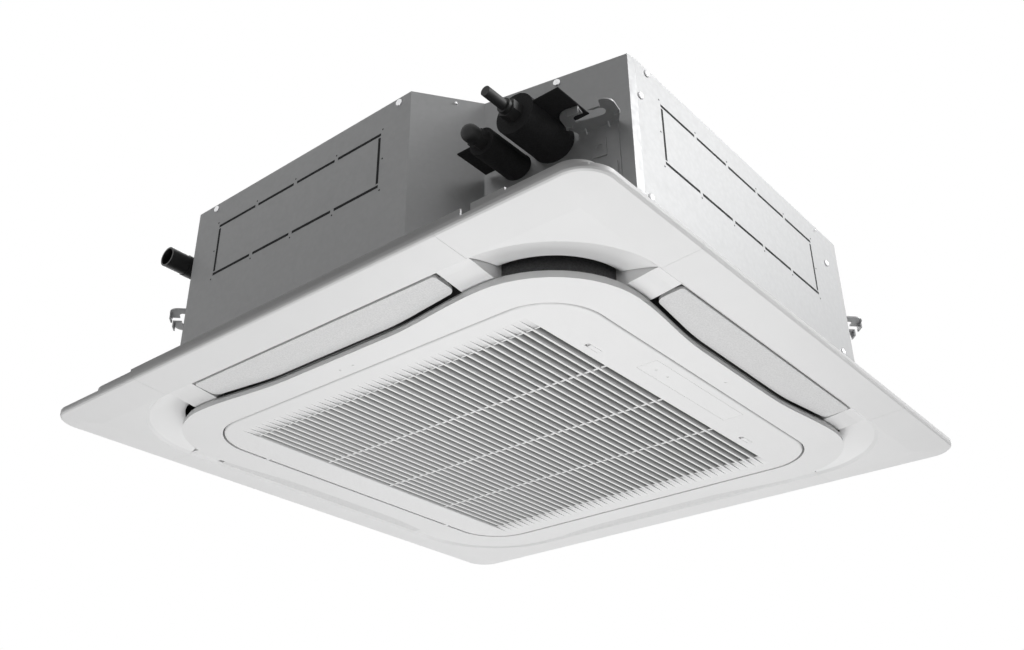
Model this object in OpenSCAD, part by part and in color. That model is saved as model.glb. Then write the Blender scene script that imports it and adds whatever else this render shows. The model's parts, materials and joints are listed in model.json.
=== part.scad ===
// Ceiling cassette air conditioner with a four way louvred panel and open corner outlets.
// Heights are written from the ceiling plane and moved to the hanging plane by from_ceiling().

/* [Casing] */
// How far the casing stands inside the panel's edge
casing_inset = 55; // [50:1:58]
// Height of the casing
casing_h = 246; // [240:1:256]
// Height of the casing's base above the ceiling plane
casing_gap = 30; // [29:1:34]
// Side length cut off each plain corner
chamfer = 163; // [155:1:168]
// Sheet metal thickness
sheet_t = 1; // [0.8:0.1:1.4]
// Width of the turned in edges of the sheets
edge_w = 14; // [12:1:16]
// Thickness of the foam liner
liner_t = 18; // [15:1:20]

/* [Panel] */
// Width of the square decorative panel, which sets the whole unit's width
panel_w = 950; // [900:1:1000]
// Corner radius of the panel
panel_r = 40; // [36:1:44]
// Depth of the visible ring and grille below the ceiling
face_drop = 25; // [25:0.5:27]
// Width of the border outside the outlets
slot_band = 58.5; // [57:0.5:60]
// Width of an outlet slot
slot_w = 54.5; // [54:0.5:56]
// Length of a corner cover along each side of the panel
cover_w = 205; // [203:0.5:206]
// Length of a bridge between a slot and a corner outlet
bridge_l = 48; // [46:1:50]
// General moulding wall
wall_t = 2.5; // [2:0.1:3]

/* [Ring and grille] */
// Width of the ring's band between the outlets and the grille
grille_band = 41; // [40.5:0.5:43]
// Corner radius of the grille
grille_r = 76; // [72:1:80]
// Seam between the grille and the ring
seam = 2; // [1.8:0.1:2.6]
// Plain border between the grille's edge and the vanes
vane_border = 57; // [56:0.5:60]
// Number of slots between the vanes
vane_gaps = 40; // [36:1:42]
// Thickness of a vane
vane_t = 3.2; // [2.8:0.1:3.6]
// Height of a vane
vane_h = 13; // [11:0.5:14]
// Lean of the vanes in degrees
vane_lean = 28; // [20:1:32]

/* [Louvers] */
// Height of the louver axis from the ceiling plane
louver_axis_z = 0; // [-0.5:0.1:0.5]
// Distance of the louver axis from the outlet's outer edge
louver_axis_in = 18.5; // [18:0.5:19.5]
// Radius of a louver pin
louver_pin_r = 3; // [2.6:0.1:3.2]

/* [Hangers] */
// Height of the bracket plates above the ceiling plane
hang_rise = 178; // [176:1:184]
// Distance of the hanging slots from the casing's left and right faces
hang_in_x = 82; // [80:1:84]
// Distance of the hanging slots from the casing's front and back faces
hang_in_y = 37; // [35:1:38]
// Length of a hanging slot
hang_slot_l = 40; // [36:1:42]
// Width of a hanging slot
hang_slot_w = 13; // [12:0.5:14]
// Width of a bracket
hang_w = 68; // [66:1:72]

/* [Pipes] */
// Radius of the gas pipe
gas_r = 8; // [7:0.5:9]
// Radius of the gas pipe's insulation
gas_foam_r = 27; // [25:0.5:28]
// Radius of the liquid pipe
liquid_r = 4.8; // [4:0.2:5.4]
// Radius of the liquid pipe's insulation
liquid_foam_r = 18.4; // [17:0.2:19]
// Outer radius of the drain outlet
drain_r = 15; // [14:0.5:16]

/* [Fan and coil] */
// Room between the fan and the coil
fan_clear = 66; // [60:1:72]
// Number of fan blades
blades = 7; // [5:1:9]
// Radius of the motor shaft
shaft_r = 5; // [4.5:0.1:5.5]
// Distance from the casing's face to the coil
coil_back = 75; // [74:1:78]
// Thickness of the coil
coil_t = 44; // [40:1:46]
// Number of fin gaps along one side of the coil
fin_gaps = 20; // [12:1:24]

/* [Hidden] */
$fn = 64;
fine_fn = 96;
over = 1;
gap = 0.3;
run_gap = 0.05;

// Plan sizes that follow the panel's width
panel_half = panel_w / 2;
casing_half = panel_half - casing_inset;
casing_w = 2 * casing_half;
slot_out = panel_half - slot_band;
slot_in = slot_out - slot_w;
cover_at = panel_half - cover_w;
lip_off = 1;
lip_c = cover_at - lip_off;
slot_half = lip_c - bridge_l;
bridge_mid = (lip_c + slot_half) / 2;
grille_half = slot_in - grille_band;
seat_lip = 27;
seat_in = slot_in - seat_lip;
louver_axis_at = slot_out - louver_axis_in;
hang_pitch_x = casing_w - 2 * hang_in_x;
hang_pitch_y = casing_w - 2 * hang_in_y;
coil_half = casing_half - coil_back;
fan_r = coil_half - coil_t - fan_clear;

casing_z0 = casing_gap;
casing_z1 = casing_gap + casing_h;
sheet_z1 = casing_z1 - sheet_t;
// Recess for the pipes at the near corner
recess_run = 248;
recess_in_x = 78;
recess_in_y = 193;
recess_out_x = 117;
recess_out_y = 2;
recess_end = 130;
casing_plan = [
    [casing_half - chamfer, -casing_half], [casing_half, chamfer - casing_half],
    [casing_half, casing_half - chamfer], [casing_half - chamfer, casing_half],
    [chamfer - casing_half, casing_half], [-casing_half, casing_half - chamfer],
    [-casing_half, recess_run - casing_half],
    [recess_in_x - casing_half, recess_in_y - casing_half],
    [recess_out_x - casing_half, recess_out_y - casing_half],
    [recess_end - casing_half, -casing_half]];
// The same plan without the short return edge, for what lies deeper inside
core_plan = concat([for (i = [0:len(casing_plan) - 3]) casing_plan[i]],
    [[recess_out_x - casing_half, -casing_half]]);
// Direction of the recess wall that carries the pipes
recess_yaw = atan2(recess_out_x - recess_in_x, recess_in_y - recess_out_y);

function unit(v) = v / norm(v);
function left_of(a, b) = let (d = unit(b - a)) [-d[1], d[0]];
function corner_in(a, b, c, t) = let (n = left_of(a, b), m = left_of(b, c)) b + t * (n + m) / (1 + n * m);
function inset(p, t) = let (n = len(p))
    [for (i = [0:n - 1]) corner_in(p[(i + n - 1) % n], p[i], p[(i + 1) % n], t)];
function smooth(t) = t <= 0 ? 0 : t >= 1 ? 1 : t * t * (3 - 2 * t);

module from_ceiling() translate([0, 0, -hang_rise]) children();
module on_side(i) rotate(90 * i) children();
module slab(z0, z1) translate([0, 0, z0]) linear_extrude(z1 - z0) children();
// Square with round corners, all exact arcs
module round_square(half, r) {
    square([2 * half, 2 * (half - r)], center = true);
    square([2 * (half - r), 2 * half], center = true);
    for (x = [-1, 1], y = [-1, 1]) translate([x, y] * (half - r)) circle(r);
}
module round_tube(half, r, t, z0, z1) slab(z0, z1) difference() {
    round_square(half, r);
    round_square(half - t, r - t);
}
module block(x0, x1, y0, y1, z0, z1) translate([x0, y0, z0]) cube([x1 - x0, y1 - y0, z1 - z0]);
module along_x(x0, x1, y, z, r) translate([x0, y, z]) rotate([0, 90, 0]) cylinder(r = r, h = x1 - x0);
module along_y(x, y0, y1, z, r) translate([x, y1, z]) rotate([90, 0, 0]) cylinder(r = r, h = y1 - y0);

// Casing sheets

screw_r = 2;
screw_head_r = 5;
screw_head_h = 2.5;
screw_len = 4;
screw_top_drop = 7.5;
screw_low_z = 77;
screw_mid_z = 222;
// Screws: face, end of the face, distance from the casing's corner there, height
screw_places = [
    [0, -1, 155.4, casing_z1 - screw_top_drop], [0, 1, 231, casing_z1 - screw_top_drop],
    [0, 1, 201.6, screw_low_z], [0, -1, 142, screw_low_z], [0, 1, 207.9, screw_mid_z],
    [0, -1, 136.5, screw_mid_z],
    [3, -1, 202.9, casing_z1 - screw_top_drop], [3, 1, 268.8, casing_z1 - screw_top_drop],
    [1, -1, 210, casing_z1 - screw_top_drop], [1, 1, 210, casing_z1 - screw_top_drop],
    [2, -1, 210, casing_z1 - screw_top_drop], [2, 1, 210, casing_z1 - screw_top_drop],
    [2, 1, 201.6, screw_low_z], [2, 1, 207.9, screw_mid_z]];
// Screws of the pipe recess: wall of the plan and share of its length
recess_screws = [[6, 0.6], [7, 0.52]];
module at_screws() {
    for (s = screw_places) on_side(s[0]) translate([s[1] * (casing_half - s[2]), -casing_half, s[3]])
        rotate([90, 0, 0]) children();
    for (s = recess_screws) {
        start = casing_plan[s[0]];
        run = casing_plan[s[0] + 1] - start;
        translate([start[0] + s[1] * run[0], start[1] + s[1] * run[1], casing_z1 - screw_top_drop])
            rotate(atan2(run[1], run[0])) rotate([90, 0, 0]) children();
    }
}
module screw_holes() at_screws() cylinder(r = screw_r + gap, h = 4 * screw_len, center = true);

module casing_screws() color("silver") from_ceiling() at_screws() {
    cylinder(r = screw_head_r, h = screw_head_h);
    translate([0, 0, -screw_len]) cylinder(r = screw_r, h = screw_len);
}

bead_w = 16;
bead_depth = 2;
bead_in = 25;
bead_back = 60;
// Fan hub and motor, as shares of the fan's radius or set back from it
hub_share = 0.375;
hub_r = fan_r * hub_share;
motor_in = 16;
motor_r = hub_r - motor_in;
bolt_out = 33;
motor_bolt_at = motor_r + bolt_out;
bead_from = motor_bolt_at + bead_in;
bead_to = casing_half - bead_back;
motor_bolt_r = 3;
bead_short = 80;
// Stiffening beads of the top sheet, shorter towards the cut corners
module bead(w, z0, z1) for (a = [0:45:315]) rotate(a)
    block(bead_from, bead_to - (a % 90 > 0 ? bead_short : 0), -w / 2, w / 2, z0, z1);
module casing_top() color("silver") from_ceiling() difference() {
    union() {
        slab(sheet_z1, casing_z1) polygon(casing_plan);
        slab(sheet_z1 - edge_w, sheet_z1) difference() {
            polygon(inset(casing_plan, sheet_t));
            polygon(inset(casing_plan, 2 * sheet_t));
        }
        bead(bead_w + 2 * sheet_t, sheet_z1 - bead_depth, sheet_z1);
    }
    bead(bead_w, casing_z1 - bead_depth, casing_z1 + over);
    for (a = [45:90:315]) rotate(a) translate([motor_bolt_at, 0, sheet_z1 - over])
        cylinder(r = motor_bolt_r + gap, h = sheet_t + 2 * over);
    screw_holes();
}

slit_w = 3;
bridge_w = 9;
// Knock-outs: face, centre along the face, centre height, length, height, long side parts
knock_back = 519;
knock_l = casing_w - knock_back;
knock_h = 80;
knock_right_back = 442;
knock_right_l = casing_w - knock_right_back;
knock_right_h = 87;
knock_left_x = -41.5;
knock_right_x = -36;
knock_z = 193;
knock_outs = [[0, knock_right_x, knock_right_l, knock_right_h, 5], [3, knock_left_x, knock_l, knock_h, 4],
    [1, knock_left_x, knock_l, knock_h, 4], [2, knock_right_x, knock_right_l, knock_right_h, 5]];
module knock_slits(l, h, n) {
    step = l / n;
    for (z = [-h / 2, h / 2], i = [0:n - 1])
        translate([-l / 2 + (i + 0.5) * step, 0, z])
            cube([step - bridge_w, 4 * sheet_t + over, slit_w], center = true);
    for (x = [-l / 2, l / 2])
        translate([x, 0, 0]) cube([slit_w, 4 * sheet_t + over, h - bridge_w], center = true);
}
seam_in = 220;
seam_at = casing_half - seam_in;
module side_b_region(s) {
    block(seam_at + s, casing_half + over, -casing_half - over, 0, casing_z0 - over, casing_z1 + over);
    block(-seam_at + s, casing_half + over, 0, casing_half + over, casing_z0 - over, casing_z1 + over);
}
hole_gap = 0.5;
// Pipes: distance from the casing's near or left corner, and height
gas_at = 101;
gas_y = gas_at - casing_half;
gas_z = 177;
liquid_at = 149.4;
liquid_y = liquid_at - casing_half;
liquid_z = 160;
drain_at = 120;
drain_y = casing_half - drain_at;
drain_z = 213;
drain_shoulder = 1;
foam_in = 60;
foam_l = 100;
hole_l = 135;
hole_end_x = hole_l - casing_half;
module pipe_holes() {
    along_x(-casing_half - over, hole_end_x, gas_y, gas_z, gas_foam_r + hole_gap);
    along_x(-casing_half - over, hole_end_x, liquid_y, liquid_z, liquid_foam_r + hole_gap);
    along_x(-casing_half - over, hole_end_x, drain_y, drain_z, drain_r + drain_shoulder + hole_gap);
}
module casing_wall() difference() {
    union() {
        slab(casing_z0, sheet_z1) difference() {
            polygon(casing_plan);
            polygon(inset(casing_plan, sheet_t));
        }
        slab(casing_z0, casing_z0 + sheet_t) difference() {
            polygon(inset(casing_plan, sheet_t / 2));
            polygon(inset(casing_plan, edge_w));
        }
    }
    for (k = knock_outs) on_side(k[0]) translate([k[1], -casing_half, knock_z])
        knock_slits(k[2], k[3], k[4]);
    screw_holes();
    pipe_holes();
}
module casing_side_a() color("gray") from_ceiling() difference() {
    casing_wall();
    side_b_region(0);
}
module casing_side_b() color("gainsboro") from_ceiling() intersection() {
    casing_wall();
    side_b_region(0);
}

liner_z0 = casing_z0 + sheet_t;
liner_z1 = sheet_z1 - edge_w - gap;
module insulation_liner() color("white") from_ceiling() difference() {
    slab(liner_z0, liner_z1) difference() {
        polygon(inset(casing_plan, sheet_t));
        polygon(inset(core_plan, sheet_t + liner_t));
    }
    pipe_holes();
}

// Hanging brackets, drawn with X along the wall and Y outwards, origin at the slot's centre

hang_t = 2;
hang_drop = 135;
hang_mouth = 12;
hang_out = 20;
hang_corner_r = 14;
hang_wide_y = -10;
flange_w = 50;
hang_lip_in = 6;
hang_lip_out = 20;
hang_lip_h = 9;
tab_in = 26;
tab_t = 1.5;
tab_h = 3.5;
hang_rib_w = 8;
hang_rib_t = 3;
hang_rib_at = 18;
boss_w = 18;
boss_t = 1.5;
boss_z = -31;
boss_h = 26;
boss_hole_r = 4.5;
gusset_at = 14.5;
gusset_l = 5;
module hanger_plate(reach) difference() {
    union() {
        translate([hang_corner_r - hang_w / 2, hang_wide_y])
            square([hang_w - 2 * hang_corner_r, hang_out - hang_wide_y]);
        translate([-hang_w / 2, hang_wide_y]) square([hang_w, hang_out - hang_corner_r - hang_wide_y]);
        for (x = [-1, 1]) translate([x * (hang_w / 2 - hang_corner_r), hang_out - hang_corner_r])
            circle(hang_corner_r);
        polygon([[-hang_w / 2, hang_wide_y + gap], [-hang_w / 2, hang_wide_y], [-flange_w / 2, -reach],
            [flange_w / 2, -reach], [hang_w / 2, hang_wide_y], [hang_w / 2, hang_wide_y + gap]]);
    }
    square([hang_slot_l - hang_slot_w, hang_slot_w], center = true);
    for (x = [-1, 1]) translate([x * (hang_slot_l - hang_slot_w) / 2, 0]) circle(hang_slot_w / 2);
    translate([-hang_mouth / 2, 0]) square([hang_mouth, hang_out + over]);
}
module hanger(reach) color("gray") {
    slab(0, hang_t) hanger_plate(reach);
    block(-flange_w / 2, flange_w / 2, -reach, hang_t - reach, -hang_drop, hang_t);
    // Down-turned lips beside the mouth and small tabs at the sides
    for (x = [-1, 1]) {
        translate([x * (hang_lip_in + hang_lip_out) / 2, 0, 0])
            block((hang_lip_in - hang_lip_out) / 2, (hang_lip_out - hang_lip_in) / 2,
                hang_out - hang_t, hang_out, -hang_lip_h, hang_t);
        translate([x * (tab_in + hang_w / 2) / 2, 0, 0])
            block((tab_in - hang_w / 2) / 2, (hang_w / 2 - tab_in) / 2,
                hang_wide_y, hang_wide_y + tab_t, -tab_h, hang_t);
        translate([x * hang_rib_at, 0, 0]) block(-hang_rib_w / 2, hang_rib_w / 2,
            hang_t - reach, hang_t + hang_rib_t - reach, -hang_drop, boss_z - boss_h);
    }
    // Gussets pressed into the bend
    for (x = [-1, 1]) translate([x * gusset_at, hang_t - reach, 0]) rotate([0, 90, 0])
        linear_extrude(hang_t, center = true)
            polygon([[-over, -over], [gusset_l, -over], [gusset_l, 0], [0, gusset_l], [-over, gusset_l]]);
    difference() {
        block(-boss_w / 2, boss_w / 2, hang_t - reach, hang_t + boss_t - reach,
            boss_z - boss_h / 2, boss_z + boss_h / 2);
        translate([0, 0, boss_z]) rotate([90, 0, 0]) cylinder(r = boss_hole_r, h = reach);
    }
}
// Reach from a plain chamfer, and from the recess's wall, to the slot
chamfer_mid = casing_half - chamfer / 2;
hang_reach = ((hang_pitch_x + hang_pitch_y) / 2 - 2 * chamfer_mid) / sqrt(2);
near_wall_x = casing_half - recess_in_x - (hang_pitch_y / 2 - casing_half + recess_in_y) * tan(recess_yaw);
near_reach = (hang_pitch_x / 2 - near_wall_x) * cos(recess_yaw);
module hanger_near() translate([-hang_pitch_x / 2, -hang_pitch_y / 2, 0]) rotate(90 + recess_yaw)
    hanger(near_reach);
module hanger_left() translate([-hang_pitch_x / 2, hang_pitch_y / 2, 0]) rotate(45) hanger(hang_reach);
module hanger_far() translate([hang_pitch_x / 2, hang_pitch_y / 2, 0]) rotate(-45) hanger(hang_reach);
module hanger_right() translate([hang_pitch_x / 2, -hang_pitch_y / 2, 0]) rotate(-135)
    hanger(hang_reach);

// Refrigerant and drain connections at the near and left corners

gas_set = 23;
gas_end_x = gas_set - casing_half;
liquid_set = 21.4;
liquid_end_x = liquid_set - casing_half;
nut_l = 15;
nut_r = 13;
tube_out = 29;
tube_tip_x = -tube_out - casing_half;
collar_l = 5;
collar_r = 9.5;
service_r = 6.5;
cap_hex_r = 13;
cap_hex_l = 12;
cap_round_r = 11.3;
cap_round_l = 20;
tail_t = 1.5;
tail_reach = 36;
// The gas pipe's loose tail lies just over the near bracket
gas_tail_z = hang_rise + hang_t + tail_t;
liquid_tail = 20;
liquid_tail_l = 53;
gas_in_x = gas_end_x + foam_l;
liquid_in_x = liquid_end_x + foam_l;
module gas_pipe() color("peru") from_ceiling() along_x(gas_end_x, gas_in_x, gas_y, gas_z, gas_r);
module gas_insulation() color("black") from_ceiling() difference() {
    union() {
        along_x(gas_end_x, gas_in_x, gas_y, gas_z, gas_foam_r);
        block(gas_end_x, gas_end_x + foam_in, gas_y - gas_foam_r - tail_reach, gas_y,
            gas_tail_z - tail_t / 2, gas_tail_z + tail_t / 2);
    }
    along_x(gas_end_x - over, gas_in_x + over, gas_y, gas_z, gas_r + run_gap);
}
module gas_flare_nut() color("dimgray") from_ceiling() {
    translate([gas_end_x - nut_l, gas_y, gas_z]) rotate([0, 90, 0]) cylinder(r = nut_r, h = nut_l, $fn = 6);
    along_x(gas_end_x - nut_l - collar_l, gas_end_x - nut_l, gas_y, gas_z, collar_r);
    along_x(tube_tip_x, gas_end_x - nut_l, gas_y, gas_z, service_r);
}
module liquid_pipe() color("peru") from_ceiling()
    along_x(liquid_end_x, liquid_in_x, liquid_y, liquid_z, liquid_r);
module liquid_insulation() color("black") from_ceiling() difference() {
    union() {
        along_x(liquid_end_x, liquid_in_x, liquid_y, liquid_z, liquid_foam_r);
        block(liquid_end_x, liquid_end_x + liquid_tail_l, liquid_y, liquid_y + liquid_foam_r + liquid_tail,
            liquid_z - tail_t / 2, liquid_z + tail_t / 2);
    }
    along_x(liquid_end_x - over, liquid_in_x + over, liquid_y, liquid_z, liquid_r + run_gap);
}
module liquid_cap_nut() color("dimgray") from_ceiling() translate([liquid_end_x, liquid_y, liquid_z])
    rotate([0, -90, 0]) {
    cylinder(r = cap_hex_r, h = cap_hex_l, $fn = 6);
    cylinder(r = cap_round_r, h = cap_round_l);
    translate([0, 0, cap_round_l]) sphere(cap_round_r);
}
drain_out = 17;
drain_end_x = -drain_out - casing_half;
drain_set = 78;
drain_in_x = drain_set - casing_half;
drain_wall = 2.5;
drain_free = 32;
module drain_outlet() color("black") from_ceiling() difference() {
    union() {
        along_x(drain_end_x, drain_in_x, drain_y, drain_z, drain_r);
        along_x(drain_end_x + drain_free, drain_in_x, drain_y, drain_z, drain_r + drain_shoulder);
    }
    along_x(drain_end_x - over, drain_in_x - drain_wall, drain_y, drain_z, drain_r - drain_wall);
}

// Drain pan, pump and float

pan_margin = 21;
pan_half = coil_half + pan_margin;
coil_r = 110;
pan_round = 6;
pan_r = coil_r + pan_round;
pan_z0 = casing_z0 + sheet_t;
pan_h = 42;
pan_floor = 20;
gutter_w = 60;
pan_in = coil_half - gutter_w;
bell_over = 14;
bell_out_r = fan_r + bell_over;
bell_gap = 3;
pan_bore = bell_out_r + bell_gap;
lug_w = 44;
panel_bolt_r = 3;
panel_bolt_in = 12;
panel_bolt_x = slot_in + panel_bolt_in;
// Sump, pump and float, measured from the pan's near corner
sump_at = [64, 66];
sump_size = [56, 102];
sump_x0 = sump_at[0] - pan_half;
sump_x1 = sump_x0 + sump_size[0];
sump_y0 = sump_at[1] - pan_half;
sump_y1 = sump_y0 + sump_size[1];
pump_at = [83, 144];
float_at = [104, 91];
module drain_pan() color("white") from_ceiling() difference() {
    intersection() {
        slab(pan_z0, pan_z0 + pan_h) polygon(inset(core_plan, sheet_t + liner_t));
        union() {
        slab(pan_z0, pan_z0 + pan_h) difference() {
            round_square(pan_half, pan_r);
            circle(pan_bore);
        }
        for (i = [0:3], s = [-1, 1]) on_side(i)
            block(pan_half - over, casing_half, s * bridge_mid - lug_w / 2, s * bridge_mid + lug_w / 2,
                pan_z0, pan_z0 + pan_floor);
        }
    }
    // Sump under the pump and the float
    block(sump_x0, sump_x1, sump_y0, sump_y1, pan_z0 + pan_floor, pan_z0 + pan_h + over);
    at_panel_bolts() slab(pan_z0 - over, pan_z0 + pan_floor - wall_t) circle(panel_bolt_r + gap);
    slab(pan_z0 + pan_floor, pan_z0 + pan_h + over) difference() {
        round_square(pan_half - 2 * wall_t, pan_r - 2 * wall_t);
        round_square(pan_in, pan_r / 2);
    }
}
pump_x = pump_at[0] - pan_half;
pump_y = pump_at[1] - pan_half;
pump_r = 26;
pump_z0 = pan_z0 + pan_floor;
pump_h = 120;
float_x = float_at[0] - pan_half;
float_y = float_at[1] - pan_half;
float_r = 12;
float_h = 16;
float_lift = 14;
stem_r = 3;
stem_h = wall_t + float_h + float_lift + 2 * gap;
// Shares of the pump's radius and height
pump_foot_share = 0.7;
pump_neck_share = 0.45;
pump_part_share = 0.3;
pump_bore_share = 0.2;
pump_spout_share = 0.5;
module drain_pump() color("ivory") from_ceiling() translate([pump_x, pump_y, pump_z0]) difference() {
    union() {
        cylinder(r = pump_r * pump_foot_share, h = pump_h * pump_part_share);
        cylinder(r = pump_r * pump_neck_share, h = pump_h);
        translate([0, 0, 2 * pump_h * pump_part_share])
            cylinder(r = pump_r, h = pump_h * (1 - 2 * pump_part_share));
        translate([0, 0, pump_h * pump_spout_share]) rotate([0, -90, 0])
            cylinder(r = pump_r * pump_part_share, h = pump_r);
    }
    translate([0, 0, -over]) cylinder(r = pump_r * pump_bore_share, h = pump_h * pump_part_share);
}
module float_stem() color("ivory") from_ceiling() translate([float_x, float_y, pump_z0]) {
    cylinder(r = stem_r, h = stem_h);
    translate([0, 0, stem_h]) cylinder(r = float_r, h = wall_t);
    cylinder(r = float_r, h = wall_t);
}
module float_switch() color("white") from_ceiling() translate([float_x, float_y, pump_z0 + wall_t + gap])
    difference() {
    cylinder(r = float_r, h = float_h);
    translate([0, 0, -over]) cylinder(r = stem_r + gap, h = float_h + 2 * over);
}

// Fin and tube coil bent round the fan, open at the pipe corner

coil_z0 = pan_z0 + pan_floor + gap;
coil_h = 198;
fin_groove = 8;
fin_slot = 5;
coil_left_in = 195;
coil_near_in = 83;
coil_left_end = coil_left_in - coil_half;
coil_near_end = coil_near_in - coil_half;
plate_t = 2;
coil_z1 = coil_z0 + coil_h;
module coil_region() {
    translate([-coil_half - over, coil_left_end])
        square([coil_half + over, coil_half - coil_left_end + over]);
    translate([coil_near_end, -coil_half - over])
        square([coil_half - coil_near_end + over, 2 * (coil_half + over)]);
}
module fin_slots() for (i = [0:3], k = [0:fin_gaps]) on_side(i) {
    y = (k - fin_gaps / 2) * 2 * (coil_half - coil_r) / fin_gaps;
    translate([coil_half - fin_groove, y - fin_slot / 2]) square([fin_groove + over, fin_slot]);
    translate([coil_half - coil_t - over, y - fin_slot / 2]) square([fin_groove + over, fin_slot]);
}
module coil_fins() color("silver") from_ceiling() slab(coil_z0, coil_z1) intersection() {
    difference() {
        round_square(coil_half, coil_r);
        round_square(coil_half - coil_t, coil_r - coil_t);
        fin_slots();
    }
    coil_region();
}
module coil_end_plates() color("lightgray") from_ceiling() {
    block(-coil_half, coil_t - coil_half, coil_left_end - plate_t, coil_left_end, coil_z0, coil_z1);
    block(coil_near_end - plate_t, coil_near_end, -coil_half, coil_t - coil_half, coil_z0, coil_z1);
}
tube_r = 3.5;
tube_rows = 8;
bend_r = 11;
// Half ring bend that joins two tubes, standing out along local Z
module return_bend() rotate([90, 0, 0]) rotate_extrude(angle = 180) translate([bend_r, 0]) circle(tube_r);
module coil_bends() color("peru") from_ceiling() for (k = [0:tube_rows - 1]) {
    z = coil_z0 + (k + 0.5) * coil_h / tube_rows;
    translate([coil_t / 2 - coil_half, coil_left_end - plate_t, z]) rotate([90, 0, 0]) return_bend();
    translate([coil_near_end - plate_t, coil_t / 2 - coil_half, z]) rotate([0, -90, 0]) rotate(90)
        return_bend();
}

// Turbo fan, motor and bell mouth

hub_cup_z = 172;
hub_top_z = 232;
hub_t = 3;
boss_r = 14;
boss_z0 = 150;
shroud_z0 = 92;
eye_share = 0.732;
shroud_eye_r = fan_r * eye_share;
shroud_drop = 26;
blade_t = 5;
root_share = 0.553;
blade_root_r = fan_r * root_share;
motor_z0 = 182;
motor_gap = 6;
blade_sweep = 42;
blade_steps = 8;
// Thickness shares of a blade at its root, and what it loses to its tip
root_swell = 1.2;
tip_loss = 0.5;
function blade_point(t, side) = let (r = blade_root_r + (fan_r - hub_t - blade_root_r) * t,
    half_t = blade_t / 2 * (root_swell - t * tip_loss),
    a = -blade_sweep * t + side * half_t / r * 180 / PI) r * [cos(a), sin(a)];
// Backward swept blade, thicker at its root
module blade_plan() polygon(concat([for (k = [0:blade_steps]) blade_point(k / blade_steps, -1)],
    [for (k = [blade_steps:-1:0]) blade_point(k / blade_steps, 1)]));
module fan_wheel() color("whitesmoke") from_ceiling() {
    rotate_extrude($fn = fine_fn) {
        // Back plate, hub cup and shaft boss as one moulded section
        polygon([[fan_r, hub_top_z - hub_t], [fan_r, hub_top_z], [hub_r, hub_top_z],
            [hub_r - 2 * hub_t, hub_cup_z + hub_t], [boss_r, hub_cup_z + hub_t],
                [boss_r, hub_cup_z + 2 * hub_t],
            [shaft_r + run_gap, hub_cup_z + 2 * hub_t], [shaft_r + run_gap, boss_z0], [boss_r, boss_z0],
            [boss_r, hub_cup_z], [hub_r - 2 * hub_t + hub_t, hub_cup_z],
                [hub_r + hub_t, hub_top_z - hub_t]]);
        // Shroud that narrows to the eye
        polygon([[fan_r, shroud_z0 + shroud_drop], [fan_r, shroud_z0 + shroud_drop + hub_t],
            [shroud_eye_r + shroud_drop, shroud_z0 + shroud_drop / 2 + hub_t],
            [shroud_eye_r + hub_t, shroud_z0 + hub_t], [shroud_eye_r + hub_t, shroud_z0],
            [shroud_eye_r, shroud_z0 - hub_t],
            [shroud_eye_r + 2 * hub_t, shroud_z0 - hub_t],
                [shroud_eye_r + shroud_drop, shroud_z0 + shroud_drop / 2]]);
    }
    intersection() {
        for (k = [0:blades - 1]) rotate(k * 360 / blades) slab(shroud_z0, hub_top_z - hub_t / 2)
            blade_plan();
        rotate_extrude($fn = fine_fn) polygon([[blade_root_r - over, hub_top_z], [fan_r, hub_top_z],
            [fan_r, shroud_z0 + shroud_drop + hub_t / 2],
            [shroud_eye_r + shroud_drop, shroud_z0 + shroud_drop / 2 + hub_t / 2],
            [shroud_eye_r + hub_t, shroud_z0 + hub_t / 2],
                [blade_root_r - over, shroud_z0 + 2 * shroud_drop]]);
    }
}
module fan_nut() color("silver") from_ceiling() translate([0, 0, boss_z0 - 2 * hub_t]) difference() {
    cylinder(r = 2 * shaft_r, h = 2 * hub_t, $fn = 6);
    translate([0, 0, -over]) cylinder(r = shaft_r + run_gap, h = 2 * hub_t + 2 * over);
}
shaft_top = 240;
module motor_shaft() color("silver") from_ceiling()
    translate([0, 0, boss_z0 - 3 * hub_t]) cylinder(r = shaft_r, h = shaft_top - boss_z0 + 3 * hub_t);
motor_top = sheet_z1 - bead_depth - motor_gap;
ear_t = 4;
ear_w = 24;
module fan_motor() color("slategray") from_ceiling() difference() {
    union() {
        slab(hub_top_z + motor_gap, motor_top) circle(motor_r);
        slab(motor_z0, hub_top_z + motor_gap) circle(motor_r - 2 * motor_gap);
        for (a = [45:90:315]) rotate(a)
            block(0, motor_bolt_at + ear_w / 2, -ear_w / 2, ear_w / 2, motor_top - ear_t, motor_top);
    }
    slab(motor_z0 - over, shaft_top + over) circle(shaft_r + run_gap);
    for (a = [45:90:315]) rotate(a) translate([motor_bolt_at, 0, motor_top - ear_t - over])
        cylinder(r = motor_bolt_r + gap, h = ear_t + 2 * over);
}
bush_r = 10;
module motor_bushes() color("black") from_ceiling() for (a = [45:90:315]) rotate(a)
    translate([motor_bolt_at, 0, 0]) {
        slab(motor_top, sheet_z1) circle(bush_r);
        slab(motor_top - ear_t, motor_top) circle(motor_bolt_r);
        slab(motor_top - 3 * ear_t, motor_top - ear_t) circle(2 * motor_bolt_r);
    }
eye_lap = 12;
bell_throat_r = shroud_eye_r - eye_lap;
bell_lip_z = 96;
bell_t = 3;
module bell_mouth() color("whitesmoke") from_ceiling() rotate_extrude($fn = fine_fn) difference() {
    union() {
        translate([bell_throat_r, pan_z0]) square([bell_out_r - bell_throat_r, bell_t]);
        intersection() {
            translate([bell_throat_r + bell_lip_z - pan_z0, bell_lip_z]) circle(bell_lip_z - pan_z0);
            translate([bell_throat_r, pan_z0]) square(bell_lip_z - pan_z0);
        }
    }
    translate([bell_throat_r + bell_lip_z - pan_z0, bell_lip_z]) circle(bell_lip_z - pan_z0 - bell_t);
}

// Electrical box under the bell mouth's flange

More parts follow.
